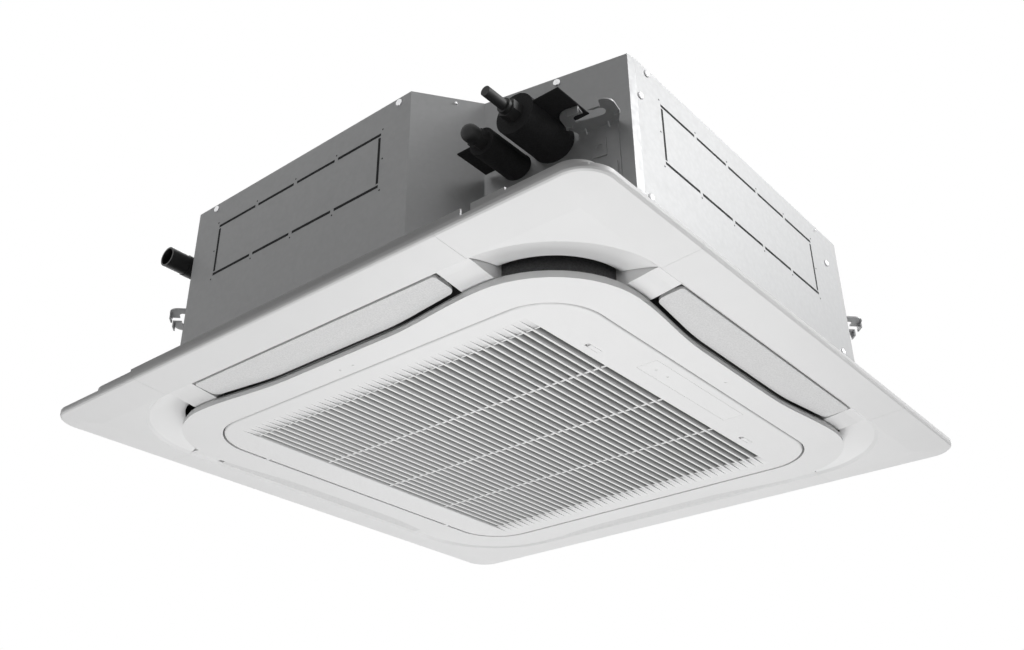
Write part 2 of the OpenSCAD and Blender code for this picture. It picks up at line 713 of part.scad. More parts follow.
box_back = 30;
box_x0 = bell_throat_r + box_back;
box_gap = 10;
box_x1 = seat_in - box_gap;
box_y = 150;
box_h = 24;
box_z1 = pan_z0;
box_z0 = box_z1 - box_h;
module control_box() color("lightgray") from_ceiling() difference() {
    block(box_x0, box_x1, -box_y, box_y, box_z0 + sheet_t, box_z1);
    block(box_x0 + sheet_t, box_x1 - sheet_t, sheet_t - box_y, box_y - sheet_t, box_z0 - over,
        box_z1 - sheet_t);
}
module control_box_lid() color("silver") from_ceiling()
    block(box_x0, box_x1, -box_y, box_y, box_z0, box_z0 + sheet_t);
terminals = 6;
module terminal_block() color("ivory") from_ceiling() for (k = [0:terminals - 1])
    translate([box_x0 + edge_w, k * edge_w - box_y + edge_w, 0]) difference() {
        block(0, 2 * edge_w, 0, edge_w - over, box_z1 - sheet_t - edge_w, box_z1 - sheet_t);
        translate([edge_w, edge_w / 2, box_z1 - sheet_t - edge_w - over])
            cylinder(r = screw_r, h = edge_w / 2);
    }
module control_board() color("green") from_ceiling() {
    block(box_x0 + edge_w, box_x1 - edge_w, 0, box_y - edge_w, box_z1 - sheet_t - 2 * wall_t,
        box_z1 - sheet_t);
    for (k = [0:3]) block(box_x0 + 2 * edge_w, box_x0 + 4 * edge_w, (2 * k + 1) * edge_w,
        (2 * k + 2) * edge_w,
        box_z1 - sheet_t - 4 * wall_t, box_z1 - sheet_t - 2 * wall_t);
}

// Decorative panel

rim_h = 4.8;
rim_r = 3;
// Shares of the rim's rounding for its middle point
rim_out_share = 0.3;
rim_up_share = 0.75;
slope_z0 = -8.5;
lip_z = -12.3;
lip_w = 4.5;
lip_up = -8.9;
lip_r = slot_out - lip_c;
inner_r = 112;
ring_c = slot_in - inner_r;
seat_z = -15;
seat_r = inner_r - seat_lip;
seat_t = 5;
duct_z1 = casing_z0 - 2;
duct_wall = 3.5;
flange_in = 35;
flange_half = panel_half - flange_in;
flange_top = 41;
flange_low = 37.5;
flange_r = 30;
flange_corner = 101;
flange_step = flange_half - flange_corner;
flange_notch = 15;
flange_notch_in = 149;
back_rim = 20;
back_step = 2;
mid_at = slot_out + lip_w;
// Section of the panel's face, as distance from the middle and height
face_edge = [[panel_half, 0], [panel_half, -rim_h],
    [panel_half - rim_r * rim_out_share, -rim_h - rim_r * rim_up_share],
    [panel_half - rim_r, slope_z0], [mid_at, lip_z]];
module face_section() polygon(concat(face_edge,
    [for (i = [len(face_edge) - 1:-1:0]) [-face_edge[i][0], face_edge[i][1]]]));
corner_at = panel_half - panel_r;
slope_end = slope_z0 + (lip_z - slope_z0) * (panel_half - rim_r - corner_at) / (panel_half - rim_r - mid_at);
module face_slab() {
    intersection() {
        rotate([90, 0, 0]) linear_extrude(2 * panel_half, center = true) face_section();
        rotate(90) rotate([90, 0, 0]) linear_extrude(2 * panel_half, center = true) face_section();
        slab(lip_z - over, over) {
            square([2 * panel_half, 2 * corner_at], center = true);
            square([2 * corner_at, 2 * panel_half], center = true);
        }
    }
    for (i = [0:3]) on_side(i) translate([corner_at, corner_at, 0]) rotate_extrude(angle = 90)
        polygon([[0, 0], [panel_r, 0], [panel_r, -rim_h],
            [panel_r - rim_r * rim_out_share, -rim_h - rim_r * rim_up_share],
            [panel_r - rim_r, slope_z0], [0, slope_end]]);
}
// Region of one corner, outside the lip circle
module corner_region(s) difference() {
    translate([cover_at + s, cover_at + s]) square(panel_half);
    translate([lip_c, lip_c]) circle(lip_r);
}
// Chamfer that leads from the face up to the outlet's edge
module lip_wedge() {
    for (i = [0:3]) on_side(i) {
        rotate([90, 0, 0]) linear_extrude(2 * lip_c, center = true)
            polygon([[slot_out - over, lip_up], [slot_out, lip_up], [mid_at, lip_z], [mid_at, lip_z - over],
                [slot_out - over, lip_z - over]]);
        translate([lip_c, lip_c, 0]) rotate_extrude(angle = 90)
            polygon([[lip_r - over, lip_up], [lip_r, lip_up], [lip_r + lip_w, lip_z],
                [lip_r + lip_w, lip_z - over],
                [lip_r - over, lip_z - over]]);
    }
}
module outlet_plan() round_square(slot_out, lip_r);
// Run of the bridge's shallow face: distance from the slot's inner wall, height
bridge_face = [[0, -15], [9, -14.8], [18, -13.6], [33, -11.6], [43, -10]];
// Bridge between a slot and a corner outlet
module bridge() rotate([90, 0, 0]) linear_extrude(lip_c - slot_half, center = true)
    polygon(concat([[slot_in - over, 0], [slot_in - over, seat_z]],
        [for (p = bridge_face) [slot_in + p[0], p[1]]],
        [[slot_out + gap / 3, lip_up], [slot_out + gap / 3, 0]]));
pocket_in = 13;
pocket_out = 14;
pocket_x0 = louver_axis_at - pocket_in;
pocket_x1 = louver_axis_at + pocket_out;
pocket_floor = -6.5;
throat_w = 47.5;
throat_in = lip_r - throat_w;
throat_top = 6;
throat_steps = 8;
throat_curve = 1.3;
bearing_r = 5;
module panel_frame() color("white") from_ceiling() difference() {
    union() {
        difference() {
            face_slab();
            slab(lip_z - 2 * over, 2 * over) outlet_plan();
            for (i = [0:3]) on_side(i) {
                slab(lip_z - 2 * over, -wall_t) corner_region(-gap);
                slab(-wall_t - over, over) difference() {
                    corner_region(-gap);
                    round_square(panel_half - 2 * wall_t - gap, panel_r - 2 * wall_t - gap);
                }
            }
            lip_wedge();
            // Hollow back between the rim and the flange
            slab(-back_step, over) difference() {
                round_square(panel_half - back_rim, panel_r / 2);
                round_square(flange_half, flange_r);
            }
        }
        for (i = [0:3], s = [-1, 1]) on_side(i) {
            translate([0, s * bridge_mid, 0]) bridge();
            // Box on the back of the bridge
            difference() {
                block(slot_in - over, slot_out + gap, s * bridge_mid - (lip_c - slot_half) / 2,
                    s * bridge_mid + (lip_c - slot_half) / 2, -over, duct_z1);
                block(slot_in + wall_t, slot_out - wall_t,
                    s * bridge_mid - (lip_c - slot_half) / 2 + wall_t,
                    s * bridge_mid + (lip_c - slot_half) / 2 - wall_t, pocket_floor + 2 * wall_t,
                        duct_z1 + over);
            }
        }
        round_tube(slot_out + duct_wall, lip_r + duct_wall, duct_wall, -over, duct_z1);
        round_tube(slot_in, inner_r, duct_wall, seat_z, duct_z1);
        slab(seat_z, seat_z + seat_t) difference() {
            round_square(slot_in, inner_r);
            round_square(seat_in, seat_r);
        }
        round_tube(flange_half, flange_r, wall_t, -back_step, flange_low);
        for (i = [0:3]) on_side(i)
            block(flange_half - wall_t, flange_half, -flange_step, flange_step, 0, flange_top);
    }
    // Notch in the top of the rear flange
    for (i = [0:3]) on_side(i) translate([flange_half, flange_half - flange_notch_in - flange_notch, 0])
        block(-wall_t - over, over, 0, flange_notch, casing_z0, flange_top + over);
    // Pockets and holes for the louver motors and bearings
    for (i = [0:3]) on_side(i) {
        block(pocket_x0, pocket_x1, slot_half + wall_t, lip_c - wall_t, pocket_floor, duct_z1 + over);
        block(pocket_x0, pocket_x1, wall_t - lip_c, -slot_half - wall_t, pocket_floor, duct_z1 + over);
        along_y(louver_axis_at, -lip_c + 2 * wall_t, lip_c - 2 * wall_t, louver_axis_z, bearing_r);
    }
}
module corner_cover(i) color("white") from_ceiling() on_side(i) difference() {
    union() {
        difference() {
            intersection() {
                face_slab();
                slab(lip_z - over, over) corner_region(0);
            }
            slab(-wall_t - gap, over) translate([cover_at - over, cover_at - over])
                square(panel_half - cover_at - 4 * wall_t);
            intersection() {
                slab(-wall_t - gap, over) round_square(panel_half - 2 * wall_t, panel_r - 2 * wall_t);
                slab(-wall_t - gap, over) translate([cover_at - over, cover_at - over]) square(panel_half);
            }
        }
        // Light throat of the corner outlet
        translate([lip_c, lip_c, 0]) rotate_extrude(angle = 90)
            polygon(concat([[lip_r + over, lip_up], [lip_r + over, -wall_t - gap],
                [lip_r - gap, -wall_t - gap],
                [lip_r - gap, throat_top], [throat_in, throat_top]],
                [for (k = [0:throat_steps]) let (t = k / throat_steps) [throat_in + (lip_r - throat_in) * t,
                    throat_top / 2 - (throat_top / 2 - lip_up) * pow(t, throat_curve)]]));
    }
    for (s = [0, 1]) mirror([s, -s, 0])
        block(lip_c - over, panel_half, lip_c - over, cover_at, lip_z - over, throat_top + over);
    lip_wedge();
}
module corner_cover_far() corner_cover(0);
module corner_cover_left() corner_cover(1);
module corner_cover_near() corner_cover(2);
module corner_cover_right() corner_cover(3);

// Ring round the grille, whose sides draw in towards the middle

ring_over = 15;
ring_r = inner_r + ring_over;
ring_draw = 13.5;
ring_flat_share = 0.36;
ring_flat = ring_c * ring_flat_share;
ring_steps = 8;
ring_turns = 12;
ring_skirt = 6;
ring_step_in = 2;
function ring_side(t, off) = ring_c + ring_r - off
    - ring_draw * (1 - smooth((abs(t) - ring_flat) / (ring_c - ring_flat)));
ring_ts = concat([for (i = [ring_steps:-1:0]) -ring_flat - (ring_c - ring_flat) * i / ring_steps],
    [for (i = [0:ring_steps]) ring_flat + (ring_c - ring_flat) * i / ring_steps]);
function turn(p, a) = [p[0] * cos(a) - p[1] * sin(a), p[0] * sin(a) + p[1] * cos(a)];
function ring_plan(off) = [for (i = [0:3], p = concat([for (t = ring_ts) [ring_side(t, off), t]],
    [for (k = [1:ring_turns - 1]) let (a = k * 90 / ring_turns)
        [ring_c, ring_c] + (ring_r - off) * [cos(a), sin(a)]])) turn(p, 90 * i)];
ring_in = grille_half + seam;
ring_in_r = grille_r + seam;
// Small round dimples beside the grille: side, place along it, distance from the grille
dimple_r = 1.6;
dimple_depth = 0.6;
dimples = [[2, -14, 19], [2, 8, 18], [3, 5.5, 20]];
module inner_ring() color("white") from_ceiling() difference() {
    union() {
        slab(-face_drop, -face_drop + ring_skirt) polygon(ring_plan(0));
        slab(-face_drop + ring_skirt - over, seat_z) polygon(ring_plan(ring_step_in));
    }
    slab(-face_drop - over, seat_z + over) round_square(ring_in, ring_in_r);
    for (d = dimples) on_side(d[0]) translate([grille_half + d[2], d[1], -face_drop - over])
        cylinder(r = dimple_r, h = over + dimple_depth);
    slab(-face_drop + wall_t, seat_z + over) difference() {
        polygon(ring_plan(ring_step_in + wall_t));
        round_square(ring_in + wall_t, ring_in_r + wall_t);
    }
}

// Louvers: drawn on the +X side and turned round

flap_back = 1.5;
flap_out = slot_out - flap_back;
flap_gap = 3.5;
flap_end = 4.5;
flap_half = slot_half - flap_end;
flap_t = 3;
flap_out_z = -11;
flap_low_z = -15.8;
flap_r = 6;
function flap_in(t) = ring_side(t, 0) + flap_gap;
flap_ts = [for (i = [-ring_steps * 2:ring_steps * 2]) flap_half * i / (ring_steps * 2)];
module flap_plan() polygon(concat([for (t = flap_ts) [flap_in(t), t]],
    [[flap_out - flap_r / 2, flap_half], [flap_out, flap_half - flap_r / 2],
        [flap_out, flap_r / 2 - flap_half],
    [flap_out - flap_r / 2, -flap_half]]));
pin_len = 9;
arm_w = 4;
module louver(i) color("gainsboro") from_ceiling() on_side(i) {
    intersection() {
        rotate([90, 0, 0]) linear_extrude(2 * flap_half, center = true) polygon([[slot_in, flap_low_z],
            [flap_out + over, flap_out_z], [flap_out + over, flap_out_z + flap_t],
                [louver_axis_at, flap_out_z + flap_t],
            [slot_in, flap_low_z + flap_t]]);
        slab(flap_low_z - over, 0) flap_plan();
    }
    for (s = [-1, 1]) {
        // Arm that carries the pin
        translate([0, s * (flap_half - arm_w / 2), 0]) rotate([90, 0, 0])
            linear_extrude(arm_w, center = true)
            {
                translate([louver_axis_at, louver_axis_z]) circle(2 * louver_pin_r);
                translate([louver_axis_at - 2 * louver_pin_r, flap_out_z])
                    square([4 * louver_pin_r, louver_axis_z - flap_out_z]);
            }
        along_y(louver_axis_at, s > 0 ? flap_half - arm_w : -flap_half - pin_len,
            s > 0 ? flap_half + pin_len : arm_w - flap_half,
            louver_axis_z, louver_pin_r);
    }
}
module louver_far_right() louver(0);
module louver_far_left() louver(1);
module louver_left() louver(2);
module louver_right() louver(3);
stepper_r = 12;
stepper_l = 14;
stepper_off = 8;
module louver_motors() color("lightgray") from_ceiling() for (i = [0:3]) on_side(i) difference() {
    translate([0, 0, stepper_off]) along_y(louver_axis_at, slot_half + wall_t + gap,
        slot_half + wall_t + gap + stepper_l,
        louver_axis_z, stepper_r);
    along_y(louver_axis_at, slot_half, slot_half + 2 * wall_t + 2 * pin_len, louver_axis_z,
        louver_pin_r + run_gap);
}
module louver_bearings() color("dimgray") from_ceiling() for (i = [0:3], s = [-1, 1]) on_side(i)
    difference() {
    along_y(louver_axis_at, s > 0 ? slot_half - gap : -slot_half - wall_t + gap,
        s > 0 ? slot_half + wall_t - gap : gap - slot_half,
        louver_axis_z, bearing_r);
    along_y(louver_axis_at, -2 * slot_half, 2 * slot_half, louver_axis_z, louver_pin_r + run_gap);
}

// Intake grille with leaning vanes

grille_z1 = -12;
grille_edge_r = 3;
vane_end = grille_half - vane_border;
scoop_border = 26;
scoop_end = grille_half - scoop_border;
scoop_depth = 2.4;
near_border = 69.3;
far_border = 56.7;
field_y0 = near_border - grille_half;
field_y1 = grille_half - far_border;
vane_pitch = (field_y1 - field_y0) / vane_gaps;
rib_half = 2;
rib_share = 0.4936;
rib_at = vane_end * rib_share;
plate_z1 = -face_drop + wall_t;
module grille_edge(half, r, z0, z1) {
    slab(z0 + grille_edge_r, z1) round_square(half, r);
    slab(z0, z0 + grille_edge_r) round_square(half - grille_edge_r, r - grille_edge_r);
    for (i = [0:3]) on_side(i) {
        along_y(half - grille_edge_r, r - half, half - r, z0 + grille_edge_r, grille_edge_r);
        translate([half - r, half - r, z0 + grille_edge_r]) rotate_extrude(angle = 90)
            translate([r - grille_edge_r, 0]) circle(grille_edge_r);
    }
}
latch_l = 22;
latch_w = 6.5;
latch_travel = 6;
// Where the two latches stand along the near right edge
latch_shares = [-0.5607, 0.6075];
latch_xs = grille_half * latch_shares;
latch_in = 55;
latch_y = latch_in - grille_half;
display_l = 215;
display_w = 30;
display_x = 2.5;
display_in = 28.5;
display_y = display_in - grille_half;
lamp_xs = [-83, -56.5];
display_t = 1;
module vane(k) translate([0, field_y0 + k * vane_pitch, -face_drop]) rotate([90, 0, 90])
    linear_extrude(2 * vane_end + 2 * over, center = true)
        polygon([[-vane_t / 2, 0], [vane_t / 2, 0], [vane_t / 2 - vane_h * tan(vane_lean), vane_h],
            [-vane_t / 2 - vane_h * tan(vane_lean), vane_h]]);
module scoop(k, s) translate([s * vane_end, field_y0 + (k + 0.5) * vane_pitch, -face_drop])
    rotate([90, 0, 0])
    linear_extrude(vane_pitch - vane_t, center = true)
        polygon([[-s * over, -over], [-s * over, scoop_depth], [s * (scoop_end - vane_end), 0],
            [s * (scoop_end - vane_end), -over]]);
hinge_side = 121;
hinge_at = grille_half - hinge_side;
hinge_in = 3;
hinge_y = grille_half - hinge_in;
hinge_up = 1.5;
hinge_z = hinge_up - face_drop;
hinge_r = 1;
carrier_half = 3;
notch_l = 2;
knuckle_l = 9;
knuckle_r = 3;
pin_half = carrier_half + gap + knuckle_l - over;
module pin_bores() along_x(-hinge_at - 2 * pin_half, hinge_at + 2 * pin_half, hinge_y, hinge_z,
    hinge_r + run_gap);
module intake_grille() color("white") from_ceiling() {
    difference() {
        grille_edge(grille_half, grille_r, -face_drop, grille_z1);
        // Hollow back
        slab(plate_z1, grille_z1 + over) round_square(grille_half - wall_t, grille_r - wall_t);
        // Notches for the pin carriers
        for (s = [-1, 1]) block(s * hinge_at - carrier_half - gap, s * hinge_at + carrier_half + gap,
            hinge_y - notch_l, grille_half + over, -face_drop - over, grille_z1 + over);
        block(-vane_end, vane_end, field_y0, field_y1, -face_drop - over, plate_z1 + over);
        for (k = [0:vane_gaps - 1], s = [-1, 1]) scoop(k, s);
        for (s = [-1, 1]) along_x(s * hinge_at - pin_half - gap, s * hinge_at + pin_half + gap,
            hinge_y, hinge_z, hinge_r + run_gap);
        for (x = latch_xs) block(x - latch_l / 2 - latch_travel, x + latch_l / 2 + gap,
            latch_y - latch_w / 2 - gap,
            latch_y + latch_w / 2 + gap, -face_drop - over, plate_z1 + over);
        block(display_x - display_l / 2 - gap, display_x + display_l / 2 + gap,
            display_y - display_w / 2 - gap,
            display_y + display_w / 2 + gap, -face_drop - over, display_t - face_drop);
    }
    intersection() {
        union() {
            for (k = [0:vane_gaps]) vane(k);
            for (x = [-rib_at, 0, rib_at]) block(x - rib_half, x + rib_half, field_y0 - over,
                field_y1 + over, vane_t / 2 - face_drop, vane_h - face_drop);
        }
        block(-vane_end - over, vane_end + over, field_y0 - over, field_y1 + over, -face_drop,
            vane_h - face_drop);
    }
    for (s = [-1, 1]) block(s * vane_end - (s < 0 ? wall_t : 0), s * vane_end + (s > 0 ? wall_t : 0),
        field_y0, field_y1, plate_z1 - over, vane_h - face_drop);
    // Knuckles for the hinge pins on the far side
    for (s = [-1, 1], e = [-1, 1]) difference() {
        translate([s * hinge_at + e * (carrier_half + gap + knuckle_l / 2), 0, 0])
            block(-knuckle_l / 2, knuckle_l / 2, hinge_y - knuckle_r, grille_half - wall_t + over / 2,
                plate_z1 - over / 2, hinge_z + knuckle_r);
        pin_bores();
    }
}
// Pins on small carriers that stand in from the ring's inner wall
module grille_hinge_pins() color("silver") from_ceiling() for (s = [-1, 1]) {
    along_x(s * hinge_at - pin_half, s * hinge_at + pin_half, hinge_y, hinge_z, hinge_r);
    block(s * hinge_at - carrier_half, s * hinge_at + carrier_half, hinge_y - hinge_r, ring_in,
        hinge_z - hinge_r, seat_z - over);
}
filter_in = 2;
filter_half = vane_end - filter_in;
filter_z0 = vane_h - face_drop + gap;
filter_t = 3;
filter_ribs = 6;
field_mid = (field_y0 + field_y1) / 2;
module air_filter() color("darkslategray") from_ceiling() translate([0, field_mid, filter_z0]) {
    slab(0, filter_t) {
        difference() {
            square(2 * filter_half + 4 * wall_t, center = true);
            square(2 * filter_half - 4 * wall_t, center = true);
        }
        for (k = [1:filter_ribs - 1], a = [0, 90]) rotate(a)
            translate([0, filter_half * (2 * k / filter_ribs - 1)])
                square([2 * filter_half, wall_t], center = true);
    }
    // Mesh sheet
    slab(filter_t / 3, 2 * filter_t / 3) square(2 * filter_half, center = true);
}
module latch(x) color("white") from_ceiling() {
    block(x - latch_l / 2, x + latch_l / 2, latch_y - latch_w / 2, latch_y + latch_w / 2, -face_drop,
        plate_z1);
    block(x - latch_l / 2 - latch_w, x + latch_l / 2 + latch_w, latch_y - latch_w, latch_y + latch_w,
        plate_z1 + gap, plate_z1 + gap + wall_t);
    block(x - latch_l / 2, x + latch_l / 2, latch_y - latch_w / 2, latch_y + latch_w / 2, plate_z1 - gap,
        plate_z1 + 2 * gap);
    block(x - latch_l / 4, x + latch_l / 4, over + wall_t - grille_half, latch_y, plate_z1 + gap,
        plate_z1 + gap + wall_t);
}
module latch_a() latch(latch_xs[0]);
module latch_b() latch(latch_xs[1]);
// Foam strips between the panel's ducts and the casing
module panel_seals() color("black") from_ceiling() {
    round_tube(slot_out + duct_wall, lip_r + duct_wall, duct_wall, duct_z1, casing_z0);
    round_tube(slot_in, inner_r, duct_wall, duct_z1, casing_z0);
    intersection() {
        round_tube(slot_in, inner_r, duct_wall, duct_z1, pan_z0);
        slab(duct_z1, pan_z0) polygon(inset(casing_plan, edge_w + gap));
    }
}
panel_bolt_head_r = 6;
panel_bolt_z0 = 0;
module at_panel_bolts() for (i = [0:3]) on_side(i) translate([panel_bolt_x, bridge_mid, 0]) children();
module panel_bolts() color("silver") from_ceiling() at_panel_bolts() {
    slab(panel_bolt_z0, panel_bolt_z0 + 2 * wall_t) circle(panel_bolt_head_r);
    slab(panel_bolt_z0 + 2 * wall_t, pan_z0 + pan_floor - 2 * wall_t) circle(panel_bolt_r);
}
module display_window() color("whitesmoke") from_ceiling() difference() {
    block(display_x - display_l / 2, display_x + display_l / 2,
        display_y - display_w / 2, display_y + display_w / 2, -face_drop, display_t - face_drop);
    for (x = lamp_xs) translate([x, display_y, -face_drop - over])
        cylinder(r = dimple_r, h = over + dimple_depth);
}

casing_top();
casing_side_a();
casing_side_b();
casing_screws();
insulation_liner();
hanger_near();
hanger_left();
hanger_far();
hanger_right();
gas_pipe();
gas_insulation();
gas_flare_nut();
liquid_pipe();
liquid_insulation();
liquid_cap_nut();
drain_outlet();
drain_pan();
drain_pump();
float_stem();
float_switch();
coil_fins();
coil_end_plates();
coil_bends();
fan_wheel();
fan_nut();
fan_motor();
motor_shaft();
motor_bushes();
bell_mouth();
control_box();
control_box_lid();
terminal_block();
control_board();
panel_frame();
corner_cover_near();
corner_cover_left();
corner_cover_far();
corner_cover_right();
inner_ring();
louver_left();
louver_far_left();
louver_far_right();
louver_right();
louver_motors();
louver_bearings();
intake_grille();
grille_hinge_pins();
air_filter();
latch_a();
latch_b();
display_window();
panel_seals();
panel_bolts();
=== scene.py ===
"""Looks of a ceiling cassette air conditioner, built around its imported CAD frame."""
import json
import math

import bmesh
import bpy
from mathutils import Matrix, Vector


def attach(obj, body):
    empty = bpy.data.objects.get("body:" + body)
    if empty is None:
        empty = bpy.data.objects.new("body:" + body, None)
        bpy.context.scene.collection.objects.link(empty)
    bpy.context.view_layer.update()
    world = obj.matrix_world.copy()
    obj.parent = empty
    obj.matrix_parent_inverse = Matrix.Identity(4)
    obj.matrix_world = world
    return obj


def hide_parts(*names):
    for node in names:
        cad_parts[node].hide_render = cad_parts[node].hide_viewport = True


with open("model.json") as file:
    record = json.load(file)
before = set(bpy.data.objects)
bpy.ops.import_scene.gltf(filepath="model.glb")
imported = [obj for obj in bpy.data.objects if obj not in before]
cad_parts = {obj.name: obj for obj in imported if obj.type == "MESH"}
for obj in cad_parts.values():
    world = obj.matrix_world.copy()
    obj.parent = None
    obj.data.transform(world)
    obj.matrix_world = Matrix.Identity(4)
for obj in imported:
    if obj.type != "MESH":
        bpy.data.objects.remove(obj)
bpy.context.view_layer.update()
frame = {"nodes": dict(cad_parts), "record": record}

MM = 0.001
HANG_RISE = 178 * MM
QUARTER = math.pi / 2
NODES = frame["nodes"]


def level(height_mm):
    """Frame height, in metres, of what lies height_mm above the ceiling plane."""
    return height_mm * MM - HANG_RISE


# Camera

CAMERA_PLACE = Vector((-1.1853, -0.9506, level(-649.9)))
CAMERA_YAW = 0.7033
CAMERA_PITCH = 0.5179
CAMERA_ROLL = 0.0023
PHOTO_W = 1024
PHOTO_H = 650
FOCAL_PX = 1115.7
AXIS_PX = (489.6, 303.0)
SENSOR = 36.0
CLIP = (0.01, 50)


def make_camera():
    data = bpy.data.cameras.new("photo_camera")
    data.sensor_width = SENSOR
    data.lens = FOCAL_PX * SENSOR / PHOTO_W
    data.shift_x = (PHOTO_W / 2 - AXIS_PX[0]) / PHOTO_W
    data.shift_y = -(PHOTO_H / 2 - AXIS_PX[1]) / PHOTO_W
    data.clip_start, data.clip_end = CLIP
    cam = bpy.data.objects.new("photo_camera", data)
    bpy.context.collection.objects.link(cam)
    ahead = Vector((math.cos(CAMERA_PITCH) * math.cos(CAMERA_YAW),
                    math.cos(CAMERA_PITCH) * math.sin(CAMERA_YAW), math.sin(CAMERA_PITCH)))
    right = ahead.cross(Vector((0, 0, 1))).normalized()
    up = right.cross(ahead)
    turn = Matrix((right, up, -ahead)).transposed() @ Matrix.Rotation(CAMERA_ROLL, 3, "Z")
    cam.matrix_world = Matrix.Translation(CAMERA_PLACE) @ turn.to_4x4()
    bpy.context.scene.camera = cam


make_camera()

# Material helpers. Scales count features per metre, and depths are in metres.

NOISE_SPAN = (0.3, 0.7)


def new_material(name):
    mat = bpy.data.materials.new(name)
    mat.use_nodes = True
    nodes = mat.node_tree.nodes
    return mat, nodes, mat.node_tree.links, nodes["Principled BSDF"]


def place_of(nodes, links, scale, stretch=(1, 1, 1)):
    coords = nodes.new("ShaderNodeTexCoord")
    mapping = nodes.new("ShaderNodeMapping")
    mapping.inputs["Scale"].default_value = [scale * s for s in stretch]
    links.new(coords.outputs["Object"], mapping.inputs["Vector"])
    return mapping.outputs["Vector"]


def noise(nodes, links, scale, detail=3.0, stretch=(1, 1, 1)):
    tex = nodes.new("ShaderNodeTexNoise")
    tex.inputs["Scale"].default_value = 1.0
    tex.inputs["Detail"].default_value = detail
    links.new(place_of(nodes, links, scale, stretch), tex.inputs["Vector"])
    return tex.outputs["Fac"]


def cells(nodes, links, scale):
    tex = nodes.new("ShaderNodeTexVoronoi")
    tex.inputs["Scale"].default_value = 1.0
    links.new(place_of(nodes, links, scale), tex.inputs["Vector"])
    return tex


def ramp(nodes, links, source, stops):
    node = nodes.new("ShaderNodeValToRGB")
    while len(node.color_ramp.elements) < len(stops):
        node.color_ramp.elements.new(0.5)
    for element, (at, colour) in zip(node.color_ramp.elements, stops):
        element.position = at
        element.color = (*colour, 1)
    links.new(source, node.inputs["Fac"])
    return node.outputs["Color"]


def largest(nodes, links, sources):
    """The largest of two or more values."""
    result = sources[0]
    for source in sources[1:]:
        node = nodes.new("ShaderNodeMath")
        node.operation = "MAXIMUM"
        links.new(result, node.inputs[0])
        links.new(source, node.inputs[1])
        result = node.outputs["Value"]
    return result


def tint(colour, factor):
    return tuple(min(1.0, c * factor) for c in colour)


def vary_colour(nodes, links, bsdf, source, colour, amount):
    """Darkens and lightens the colour by a share of itself, as the source goes up."""
    factors = (1 - amount, 1 + amount)
    stops = [(at, tint(colour, factor)) for at, factor in zip(NOISE_SPAN, factors)]
    links.new(ramp(nodes, links, source, stops), bsdf.inputs["Base Color"])


def vary_rough(nodes, links, bsdf, source, low, high):
    span = nodes.new("ShaderNodeMapRange")
    span.inputs["To Min"].default_value = low
    span.inputs["To Max"].default_value = high
    links.new(source, span.inputs["Value"])
    links.new(span.outputs["Result"], bsdf.inputs["Roughness"])


def add_bump(nodes, links, bsdf, source, depth, strength):
    bump = nodes.new("ShaderNodeBump")
    bump.inputs["Distance"].default_value = depth
    bump.inputs["Strength"].default_value = strength
    links.new(source, bump.inputs["Height"])
    links.new(bump.outputs["Normal"], bsdf.inputs["Normal"])


# Materials

FLOW_PATCH = 9
FLOW_TINT = 0.012
SHEEN_PATCH = 27
SHEEN_SPAN = 0.05
MOULD_GRAIN = 900
MOULD_DEPTH = 0.03 * MM


def moulded_skin(nodes, links, bsdf, rough, grain=MOULD_GRAIN, depth=MOULD_DEPTH):
    """Sheen and fine grain of an injection moulding."""
    patches = noise(nodes, links, SHEEN_PATCH)
    vary_rough(nodes, links, bsdf, patches, rough - SHEEN_SPAN, rough + SHEEN_SPAN)
    add_bump(nodes, links, bsdf, noise(nodes, links, grain, detail=2.0), depth, strength=0.6)


def moulded(name, colour, rough, grain=MOULD_GRAIN, depth=MOULD_DEPTH):
    """Injection moulded plastic with faint flow patches."""
    mat, nodes, links, bsdf = new_material(name)
    vary_colour(nodes, links, bsdf, noise(nodes, links, FLOW_PATCH), colour, FLOW_TINT)
    moulded_skin(nodes, links, bsdf, rough, grain, depth)
    return mat


def louver_plastic(name, colour, grain=520, amount=0.09, depth=0.25 * MM, rough=0.6):
    """Louver moulding with the coarse spark grain that the photo shows."""
    mat, nodes, links, bsdf = new_material(name)
    spark = noise(nodes, links, grain, detail=4.0)
    vary_colour(nodes, links, bsdf, spark, colour, amount)
    bsdf.inputs["Roughness"].default_value = rough
    add_bump(nodes, links, bsdf, spark, depth, strength=0.7)
    return mat


def galvanised(name, colour, spangle=160, streak=30, streak_share=0.45, amount=0.018,
               depth=0.1 * MM):
    """Dull galvanised sheet: pale spangle cells and level rolling streaks."""
    mat, nodes, links, bsdf = new_material(name)
    spangles = cells(nodes, links, spangle)
    streaks = noise(nodes, links, streak, detail=4.0, stretch=(1, 1, 9))
    mix = nodes.new("ShaderNodeMix")
    mix.inputs["Factor"].default_value = streak_share
    links.new(spangles.outputs["Color"], mix.inputs["A"])
    links.new(streaks, mix.inputs["B"])
    vary_colour(nodes, links, bsdf, mix.outputs["Result"], colour, amount)
    vary_rough(nodes, links, bsdf, spangles.outputs["Distance"], low=0.38, high=0.52)
    bsdf.inputs["Metallic"].default_value = 0.25
    add_bump(nodes, links, bsdf, streaks, depth, strength=0.15)
    return mat


def metal(name, colour, rough, scale=60, stretch=(1, 1, 14), depth=0.04 * MM):
    """Bare or plated metal with drawn lines."""
    mat, nodes, links, bsdf = new_material(name)
    bsdf.inputs["Metallic"].default_value = 1.0
    lines = noise(nodes, links, scale, detail=4.0, stretch=stretch)
    vary_colour(nodes, links, bsdf, lines, colour, amount=0.07)
    vary_rough(nodes, links, bsdf, lines, low=rough - 0.07, high=rough + 0.1)
    add_bump(nodes, links, bsdf, lines, depth, strength=0.5)
    return mat


